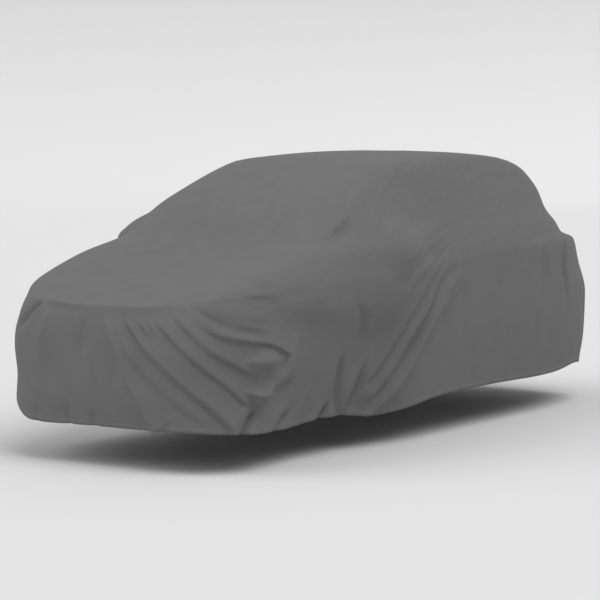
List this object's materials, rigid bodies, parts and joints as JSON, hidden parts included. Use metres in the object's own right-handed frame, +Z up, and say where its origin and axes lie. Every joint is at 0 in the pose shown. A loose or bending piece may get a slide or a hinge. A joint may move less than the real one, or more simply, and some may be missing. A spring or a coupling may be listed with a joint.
{
  "type": "car cover",
  "caption": "Fitted grey woven cloth cover that hangs over a compact hatchback in soft pulled folds, tented over the door mirrors and open below its hem",
  "frame": {"origin": "the point under the middle of the cover's roof, on the cloth's inner face, where it rests on what it covers", "axes": "+Z is up, -Y is the nose end, +X is the cover's left side"},
  "size_m": [2.0138, 4.2932, 1.4622],
  "materials": {
    "grey_polyester": "plain mid-grey woven polyester, matt with a faint sheen"
  },
  "bodies": {
    "root": {"cover_cloth": "grey_polyester"}
  },
  "joints": []
}
